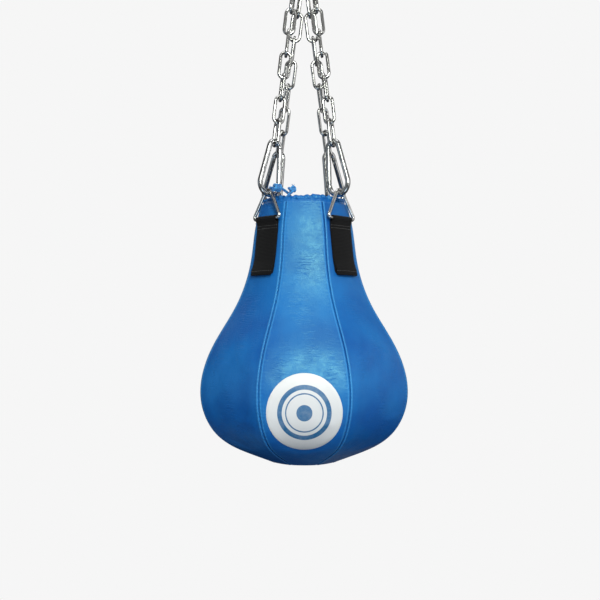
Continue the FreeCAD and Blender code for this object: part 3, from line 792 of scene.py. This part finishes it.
def soft_inside(name, node, strength, voxel):
    """A stuffed inner piece: the CAD solid remeshed and made a little lumpy, inwards only."""
    obj = merged_copy(name, node)
    apply_modifier(obj, "REMESH", mode="VOXEL", voxel_size=voxel)
    lumps = bpy.data.textures.new(name, "CLOUDS")
    lumps.noise_scale = 0.03
    apply_modifier(obj, "DISPLACE", texture=lumps, strength=strength, mid_level=1.0, texture_coords="LOCAL")
    smooth(obj, 60)
    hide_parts(node)
    return obj


felt = soft_inside("felt_layer", "foam_lining", 0.0016, 0.004)
rags = soft_inside("rag_filling", "filling", 0.005, 0.005)

bpy.ops.mesh.primitive_circle_add(vertices=64, radius=0.05, fill_type="NGON", location=(0, 0, 0))
cover = bpy.context.object
low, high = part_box("top_cover")
cover_radius = (high.x - low.x) / 2 - 0.0005
bpy.ops.object.mode_set(mode="EDIT")
bpy.ops.mesh.select_all(action="SELECT")
bpy.ops.transform.resize(value=(cover_radius / 0.05,) * 2 + (1,))
for i in range(9):
    bpy.ops.mesh.inset(thickness=cover_radius / 10, depth=0.0003)
bpy.ops.mesh.poke()
end_edit()
cover.location.z = low.z + 0.0005
settle(cover, "leather_cover")
apply_modifier(cover, "SOLIDIFY", thickness=0.0018, offset=1)
apply_modifier(cover, "SUBSURF", levels=1, render_levels=1)
smooth(cover, 60)
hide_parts("top_cover")

# ---- Materials ----------------------------------------------------------------------------


def node_group(name, inputs, outputs):
    group = bpy.data.node_groups.new(name, "ShaderNodeTree")
    for label, kind, value in inputs:
        socket = group.interface.new_socket(label, in_out="INPUT", socket_type=kind)
        if value is not None:
            socket.default_value = value
    for label, kind in outputs:
        group.interface.new_socket(label, in_out="OUTPUT", socket_type=kind)
    return group, group.nodes.new("NodeGroupInput"), group.nodes.new("NodeGroupOutput")


def wire(tree, source, target):
    tree.links.new(source, target)


def add(tree, kind, sockets=None, **settings):
    """A new node with its settings, its number sockets set and its links made."""
    made = tree.nodes.new(kind)
    for key, value in settings.items():
        setattr(made, key, value)
    for key, value in (sockets or {}).items():
        socket = made.inputs[key]
        if isinstance(value, bpy.types.NodeSocket):
            tree.links.new(value, socket)
        else:
            socket.default_value = value
    return made


def maths(tree, operation, a, b=None, clamp=False):
    sockets = {0: a} if b is None else {0: a, 1: b}
    return add(tree, "ShaderNodeMath", sockets, operation=operation, use_clamp=clamp).outputs[0]


def remap(tree, value, low, high, to_low=0.0, to_high=1.0):
    sockets = {"Value": value, "From Min": low, "From Max": high, "To Min": to_low, "To Max": to_high}
    return add(tree, "ShaderNodeMapRange", sockets).outputs[0]


def mix_colour(tree, share, a, b, blend="MIX"):
    made = add(tree, "ShaderNodeMix", data_type="RGBA", blend_type=blend)
    for socket, value in ((made.inputs[0], share), (made.inputs[6], a), (made.inputs[7], b)):
        if isinstance(value, bpy.types.NodeSocket):
            tree.links.new(value, socket)
        else:
            socket.default_value = value
    return made.outputs[2]


def material(name, **sockets):
    made = bpy.data.materials.new(name)
    made.use_nodes = True
    tree = made.node_tree
    shader = tree.nodes["Principled BSDF"]
    for key, value in sockets.items():
        shader.inputs[key.replace("_", " ")].default_value = value
    return made, tree, shader


def bump(tree, shader, height, strength, distance):
    made = add(tree, "ShaderNodeBump", {"Height": height, "Strength": strength, "Distance": distance})
    wire(tree, made.outputs["Normal"], shader.inputs["Normal"])


def grain_group():
    """Leather grain: fine pebbles with thin valleys, in metres of Object coordinates."""
    group, given, result = node_group(
        "leather_grain",
        [("Vector", "NodeSocketVector", None), ("Cells", "NodeSocketFloat", 700.0)],
        [("Height", "NodeSocketFloat"), ("Patches", "NodeSocketFloat")],
    )
    cells = add(
        group,
        "ShaderNodeTexVoronoi",
        {"Vector": given.outputs["Vector"], "Scale": given.outputs["Cells"]},
        feature="DISTANCE_TO_EDGE",
    )
    pebbles = remap(group, cells.outputs["Distance"], 0.0, 0.25)
    place = given.outputs["Vector"]
    fine = add(group, "ShaderNodeTexNoise", {"Vector": place, "Scale": 2200.0, "Detail": 2.0})
    height = maths(group, "ADD", pebbles, maths(group, "MULTIPLY", fine.outputs[0], 0.4))
    patches = add(group, "ShaderNodeTexNoise", {"Vector": place, "Scale": 14.0, "Detail": 3.0})
    wire(group, height, result.inputs["Height"])
    wire(group, patches.outputs[0], result.inputs["Patches"])
    return group


def wear_group():
    """Small scuffs and specks that break up a surface's gloss."""
    group, given, result = node_group(
        "scuffs",
        [("Vector", "NodeSocketVector", None), ("Size", "NodeSocketFloat", 90.0)],
        [("Scuffs", "NodeSocketFloat"), ("Specks", "NodeSocketFloat")],
    )
    broad = add(
        group,
        "ShaderNodeTexNoise",
        {
            "Vector": given.outputs["Vector"],
            "Scale": given.outputs["Size"],
            "Detail": 5.0,
            "Roughness": 0.65,
        },
    )
    specks = add(group, "ShaderNodeTexVoronoi", {"Vector": given.outputs["Vector"], "Scale": 420.0})
    wire(group, remap(group, broad.outputs[0], 0.42, 0.62), result.inputs["Scuffs"])
    wire(group, remap(group, specks.outputs["Distance"], 0.18, 0.05), result.inputs["Specks"])
    return group


GRAIN = grain_group()
SCUFFS = wear_group()


def place_group(tree, group, **values):
    coordinates = add(tree, "ShaderNodeTexCoord").outputs["Object"]
    made = add(tree, "ShaderNodeGroup", node_tree=group)
    wire(tree, coordinates, made.inputs["Vector"])
    for key, value in values.items():
        made.inputs[key].default_value = value
    return made


def blue_leather(name, creased):
    made, tree, shader = material(
        name,
        Roughness=0.42,
        Metallic=0.0,
        Specular_IOR_Level=0.62,
        Specular_Tint=(0.42, 1.0, 0.72, 1),
        Sheen_Weight=0.05,
        Sheen_Roughness=0.45,
        Sheen_Tint=(0.25, 0.65, 1.0, 1),
    )
    grain = place_group(tree, GRAIN)
    scuffs = place_group(tree, SCUFFS)
    deep = (0.0035, 0.078, 0.335, 1)
    bright = (0.007, 0.122, 0.415, 1)
    patches = remap(tree, grain.outputs["Patches"], 0.35, 0.65)
    colour = mix_colour(tree, patches, deep, bright)
    specks = maths(tree, "MULTIPLY", scuffs.outputs["Specks"], 0.12)
    colour = mix_colour(tree, specks, colour, (0.10, 0.32, 0.70, 1))
    height = maths(tree, "MULTIPLY", grain.outputs["Height"], 0.10)
    if creased:
        uv = add(tree, "ShaderNodeUVMap", uv_map="cut").outputs[0]
        gap = add(tree, "ShaderNodeAttribute", attribute_name="seam_gap").outputs["Fac"]
        stretched = add(tree, "ShaderNodeMapping", {"Vector": uv, "Scale": (26.0, 210.0, 1.0)}).outputs[0]
        line_look = {"Vector": stretched, "Scale": 1.0, "Detail": 2.5, "Distortion": 0.5}
        lines = add(tree, "ShaderNodeTexNoise", line_look)
        ridges = maths(tree, "ABSOLUTE", maths(tree, "SUBTRACT", lines.outputs[0], 0.5))
        creases = remap(tree, ridges, 0.0, 0.055)
        area = add(tree, "ShaderNodeMapping", {"Vector": uv, "Scale": (30.0, 16.0, 1.0)}).outputs[0]
        where = add(tree, "ShaderNodeTexNoise", {"Vector": area, "Scale": 1.0, "Detail": 1.0}).outputs[0]
        middle = maths(tree, "MULTIPLY", remap(tree, where, 0.42, 0.6), remap(tree, gap, 0.008, 0.024))
        depth = maths(tree, "MULTIPLY", middle, 0.55)
        height = maths(tree, "ADD", height, maths(tree, "MULTIPLY", creases, depth))
        split = add(tree, "ShaderNodeSeparateXYZ", {"Vector": uv})
        wave = maths(tree, "SINE", maths(tree, "MULTIPLY", split.outputs[1], 2 * math.pi / 0.0055))
        pull = maths(tree, "MULTIPLY", wave, remap(tree, gap, 0.009, 0.001, 0.0, 0.35))
        height = maths(tree, "ADD", height, pull)
        # Painted shade: the leather's colour is darkened along each seam's groove.
        seam_groove_shade = remap(tree, gap, 0.0013, 0.0003, 0.0, 0.55)
        colour = mix_colour(tree, seam_groove_shade, colour, (0.002, 0.018, 0.11, 1))
        # Painted highlight: a lighter band of colour along the raised ridge beside each seam.
        ridge_highlight = maths(tree, "MULTIPLY", remap(tree, gap, 0.0008, 0.0022), remap(tree, gap, 0.0042, 0.0028))
        colour = mix_colour(tree, maths(tree, "MULTIPLY", ridge_highlight, 0.5), colour, (0.06, 0.30, 0.66, 1))
    place = add(tree, "ShaderNodeTexCoord").outputs["Object"]
    broad = add(tree, "ShaderNodeTexNoise", {"Vector": place, "Scale": 26.0})
    height = maths(tree, "ADD", height, maths(tree, "MULTIPLY", broad.outputs[0], 1.4))
    wire(tree, colour, shader.inputs["Base Color"])
    rough = remap(tree, scuffs.outputs["Scuffs"], 0.0, 1.0, 0.36, 0.46)
    wire(tree, rough, shader.inputs["Roughness"])
    bump(tree, shader, height, 0.5, 0.0009)
    return made


def white_vinyl():
    made, tree, shader = material("printed_vinyl", Roughness=0.4, Specular_IOR_Level=0.45)
    grain = place_group(tree, GRAIN, Cells=900.0)
    scuffs = place_group(tree, SCUFFS)
    place = add(tree, "ShaderNodeTexCoord").outputs["Object"]
    split = add(tree, "ShaderNodeSeparateXYZ", {"Vector": place})
    rise = maths(tree, "SUBTRACT", split.outputs[2], DISC_CENTRE)
    up = maths(tree, "MULTIPLY", rise, DISC_HALF_WIDTH / DISC_HALF_HEIGHT)
    reach = maths(
        tree,
        "SQRT",
        maths(tree, "ADD", maths(tree, "POWER", split.outputs[0], 2.0), maths(tree, "POWER", up, 2.0)),
    )
    ring = maths(tree, "ABSOLUTE", maths(tree, "SUBTRACT", reach, 0.034))
    inked = remap(tree, ring, 0.0033, 0.0030)
    dot = remap(tree, reach, 0.0112, 0.0108)
    thin = remap(tree, maths(tree, "ABSOLUTE", maths(tree, "SUBTRACT", reach, 0.0255)), 0.0010, 0.0008)
    print_mask = maths(tree, "MAXIMUM", maths(tree, "MAXIMUM", inked, dot), thin)
    rubbed = maths(tree, "MULTIPLY", scuffs.outputs["Scuffs"], 0.12)
    print_mask = maths(tree, "SUBTRACT", print_mask, rubbed, clamp=True)
    white = mix_colour(tree, grain.outputs["Patches"], (0.60, 0.60, 0.62, 1), (0.66, 0.66, 0.68, 1))
    colour = mix_colour(tree, print_mask, white, (0.018, 0.115, 0.27, 1))
    wire(tree, colour, shader.inputs["Base Color"])
    wire(tree, remap(tree, scuffs.outputs["Scuffs"], 0.0, 1.0, 0.34, 0.46), shader.inputs["Roughness"])
    bump(tree, shader, grain.outputs["Height"], 0.16, 0.0003)
    return made


def webbing_cloth():
    made, tree, shader = material(
        "black_webbing", Roughness=0.82, Sheen_Weight=0.04, Sheen_Roughness=0.5, Specular_IOR_Level=0.16
    )
    uv = add(tree, "ShaderNodeUVMap", uv_map="weave").outputs[0]
    split = add(tree, "ShaderNodeSeparateXYZ", {"Vector": uv})
    ribs = maths(tree, "SINE", maths(tree, "MULTIPLY", split.outputs[1], 2 * math.pi / 0.0021))
    cords = maths(tree, "SINE", maths(tree, "MULTIPLY", split.outputs[0], 2 * math.pi / 0.0016))
    weave = maths(tree, "MULTIPLY", ribs, maths(tree, "ADD", maths(tree, "MULTIPLY", cords, 0.45), 0.8))
    place = add(tree, "ShaderNodeTexCoord").outputs["Object"]
    fuzz = add(tree, "ShaderNodeTexNoise", {"Vector": place, "Scale": 900.0, "Detail": 3.0}).outputs[0]
    height = maths(tree, "ADD", weave, fuzz)
    # Painted shade: the weave's valleys are coloured darker than its crowns.
    valley = (0.0012, 0.0011, 0.0014, 1)
    crown = (0.0060, 0.0056, 0.0066, 1)
    shade = mix_colour(tree, remap(tree, height, -0.6, 1.8), valley, crown)
    wire(tree, shade, shader.inputs["Base Color"])
    wire(tree, remap(tree, fuzz, 0.3, 0.7, 0.72, 0.9), shader.inputs["Roughness"])
    bump(tree, shader, height, 0.6, 0.0004)
    return made


def thread(name, dark, light):
    made, tree, shader = material(name, Roughness=0.6, Sheen_Weight=0.25)
    place = add(tree, "ShaderNodeTexCoord").outputs["Object"]
    twist = add(tree, "ShaderNodeTexWave", {"Vector": place, "Scale": 900.0, "Distortion": 2.0}).outputs[1]
    wire(tree, mix_colour(tree, twist, dark, light), shader.inputs["Base Color"])
    bump(tree, shader, twist, 0.4, 0.0002)
    return made


def blue_lace():
    made, tree, shader = material("blue_lace", Roughness=0.55, Sheen_Weight=0.35, Sheen_Roughness=0.4)
    place = add(tree, "ShaderNodeTexCoord").outputs["Object"]
    yarn = add(tree, "ShaderNodeTexNoise", {"Vector": place, "Scale": 1400.0, "Detail": 2.0}).outputs[0]
    tone = add(tree, "ShaderNodeTexNoise", {"Vector": place, "Scale": 260.0, "Detail": 1.0}).outputs[0]
    colour = mix_colour(tree, remap(tree, tone, 0.35, 0.65), (0.008, 0.10, 0.36, 1), (0.03, 0.27, 0.62, 1))
    colour = mix_colour(tree, remap(tree, yarn, 0.5, 0.75, 0.0, 0.35), colour, (0.12, 0.45, 0.75, 1))
    wire(tree, colour, shader.inputs["Base Color"])
    bump(tree, shader, yarn, 0.6, 0.0002)
    return made


def metal(name, tone, rough_low, rough_high, mottle):
    made, tree, shader = material(name, Metallic=1.0)
    scuffs = place_group(tree, SCUFFS, Size=60.0)
    place = add(tree, "ShaderNodeTexCoord").outputs["Object"]
    fine = add(tree, "ShaderNodeTexNoise", {"Vector": place, "Scale": 420.0, "Detail": 4.0}).outputs[0]
    darker = tuple(c * mottle for c in tone[:3]) + (1,)
    colour = mix_colour(tree, scuffs.outputs["Scuffs"], tone, darker)
    wire(tree, colour, shader.inputs["Base Color"])
    rough = remap(tree, maths(tree, "ADD", scuffs.outputs["Scuffs"], fine), 0.3, 1.6, rough_low, rough_high)
    wire(tree, rough, shader.inputs["Roughness"])
    bump(tree, shader, fine, 0.25, 0.0003)
    return made


def cloth(name, dark, light, scale):
    made, tree, shader = material(name, Roughness=0.95, Sheen_Weight=0.2)
    place = add(tree, "ShaderNodeTexCoord").outputs["Object"]
    fibres = add(tree, "ShaderNodeTexNoise", {"Vector": place, "Scale": scale, "Detail": 6.0}).outputs[0]
    wire(tree, mix_colour(tree, remap(tree, fibres, 0.35, 0.65), dark, light), shader.inputs["Base Color"])
    bump(tree, shader, fibres, 0.8, 0.0008)
    return made


LEATHER = blue_leather("blue_leather_panel", True)
LEATHER_PLAIN = blue_leather("blue_leather", False)
FINISHES = {
    "blue_leather": LEATHER_PLAIN,
    "white_leather": white_vinyl(),
    "felt_lining": cloth("grey_felt", (0.10, 0.10, 0.105, 1), (0.22, 0.22, 0.225, 1), 300.0),
    "textile_filling": cloth("rag_filling", (0.20, 0.18, 0.16, 1), (0.50, 0.47, 0.44, 1), 60.0),
    "blue_lace": blue_lace(),
    "black_webbing": webbing_cloth(),
    "chromed_steel": metal("bright_chrome", (0.64, 0.64, 0.63, 1), 0.08, 0.22, 0.66),
    "zinc_steel": metal("zinc_plate", (0.54, 0.545, 0.55, 1), 0.10, 0.24, 0.64),
    "spring_steel": metal("spring_wire", (0.42, 0.42, 0.43, 1), 0.2, 0.36, 0.8),
    "bearing_steel": metal("bearing_steel", (0.58, 0.58, 0.59, 1), 0.08, 0.2, 0.85),
}
BLACK_THREAD = thread("black_thread", (0.006, 0.006, 0.007, 1), (0.035, 0.035, 0.038, 1))
BLUE_THREAD = thread("blue_thread", (0.012, 0.11, 0.40, 1), (0.05, 0.27, 0.65, 1))


def finish_piece(obj, body, slot, made=None):
    obj.data.materials.clear()
    obj.data.materials.append(made or FINISHES[slot])
    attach(obj, body)


for obj in NODES.values():
    slot = obj.data.materials[0].name.split(".")[0]
    obj.material_slots[0].material = FINISHES[slot]

for panel in leather:
    finish_piece(panel, "bag", "blue_leather", LEATHER)
for obj in (base_leather, hem, cover):
    finish_piece(obj, "bag", "blue_leather")
finish_piece(welts, "bag", "blue_leather")
finish_piece(disc, "bag", "white_leather")
finish_piece(felt, "bag", "felt_lining")
finish_piece(rags, "bag", "textile_filling")
for obj in lace_pieces:
    finish_piece(obj, "bag", "blue_lace")
for corner in CORNERS:
    finish_piece(webbing[corner], "bag", "black_webbing")
    finish_piece(strap_stitches[corner], "bag", "black_webbing", BLACK_THREAD)
finish_piece(hem_stitches, "bag", "blue_lace", BLUE_THREAD)

# ---- Studio -------------------------------------------------------------------------------


def area_light(name, place, target, width, height, power, colour=(1, 1, 1)):
    data = bpy.data.lights.new(name, "AREA")
    data.shape = "RECTANGLE"
    data.size, data.size_y = width, height
    data.energy = power
    data.color = colour
    lamp = bpy.data.objects.new(name, data)
    lamp.location = place
    lamp.rotation_euler = (Vector(target) - Vector(place)).to_track_quat("-Z", "Y").to_euler()
    lamp.visible_camera = False
    bpy.context.scene.collection.objects.link(lamp)


BELLY = (0, 0, BASE + 0.15)
area_light("key", (0.22, -1.75, BASE + 1.05), BELLY, 0.34, 1.2, 36, (0.97, 1.0, 0.92))
area_light("right_fill", (1.6, -0.9, BASE + 0.5), BELLY, 0.9, 1.4, 5)
area_light("left_fill", (-1.7, -0.5, BASE + 0.4), BELLY, 0.9, 1.4, 3.2, (0.75, 0.88, 1.0))
area_light("back_fill", (0.3, 1.8, BASE + 0.9), BELLY, 1.2, 1.2, 6)
area_light("low_fill", (0, -1.2, BASE - 0.55), BELLY, 0.9, 0.6, 4.5, (0.7, 0.86, 1.0))
area_light("top", (0, -0.2, 0.9), (0, 0, -0.3), 0.8, 0.8, 5)

world = bpy.data.worlds.new("studio")
bpy.context.scene.world = world
world.use_nodes = True
tree = world.node_tree
tree.nodes.clear()
output = tree.nodes.new("ShaderNodeOutputWorld")
direction = add(tree, "ShaderNodeTexCoord").outputs["Generated"]
split = add(tree, "ShaderNodeSeparateXYZ", {"Vector": direction})
frontward = maths(tree, "MULTIPLY", split.outputs[1], -0.6)
upward = maths(tree, "MULTIPLY", split.outputs[2], 0.55)
front_side = maths(tree, "ADD", frontward, upward)
room_light = remap(tree, front_side, -0.4, 0.8, 0.03, 0.34)
bands = maths(tree, "SINE", maths(tree, "MULTIPLY", split.outputs[0], 9.0))
streaks = remap(tree, bands, -0.3, 0.75, 0.02, 1.0)
soft = add(tree, "ShaderNodeBackground", {"Strength": room_light})
soft.inputs["Color"].default_value = (1, 1, 1, 1)
seen = add(tree, "ShaderNodeBackground", {"Strength": 0.922})
seen.inputs["Color"].default_value = (1, 1, 1, 1)
lower_dark = remap(tree, split.outputs[2], -0.5, 0.25, 0.1, 0.62)
mirrored = add(tree, "ShaderNodeBackground", {"Strength": maths(tree, "MULTIPLY", streaks, lower_dark)})
mirrored.inputs["Color"].default_value = (1, 1, 1, 1)
rays = add(tree, "ShaderNodeLightPath")
lit = add(tree, "ShaderNodeMixShader", {0: rays.outputs["Is Glossy Ray"]})
wire(tree, soft.outputs[0], lit.inputs[1])
wire(tree, mirrored.outputs[0], lit.inputs[2])
mixed = add(tree, "ShaderNodeMixShader", {0: rays.outputs["Is Camera Ray"]})
wire(tree, lit.outputs[0], mixed.inputs[1])
wire(tree, seen.outputs[0], mixed.inputs[2])
wire(tree, mixed.outputs[0], output.inputs["Surface"])

bpy.ops.mesh.primitive_circle_add(vertices=64, radius=3.0, fill_type="NGON", location=(0, 0, -2.0))
floor = bpy.context.object
floor.name = "floor"
paper, tree, shader = material("pale_paper", Roughness=0.9, Emission_Strength=0.92)
shader.inputs["Base Color"].default_value = (0, 0, 0, 1)
shader.inputs["Specular IOR Level"].default_value = 0
shader.inputs["Emission Color"].default_value = (1, 1, 1, 1)
floor.data.materials.append(paper)
floor.visible_diffuse = False
floor.visible_glossy = False

bpy.context.scene.view_settings.view_transform = "Standard"
bpy.context.view_layer.update()
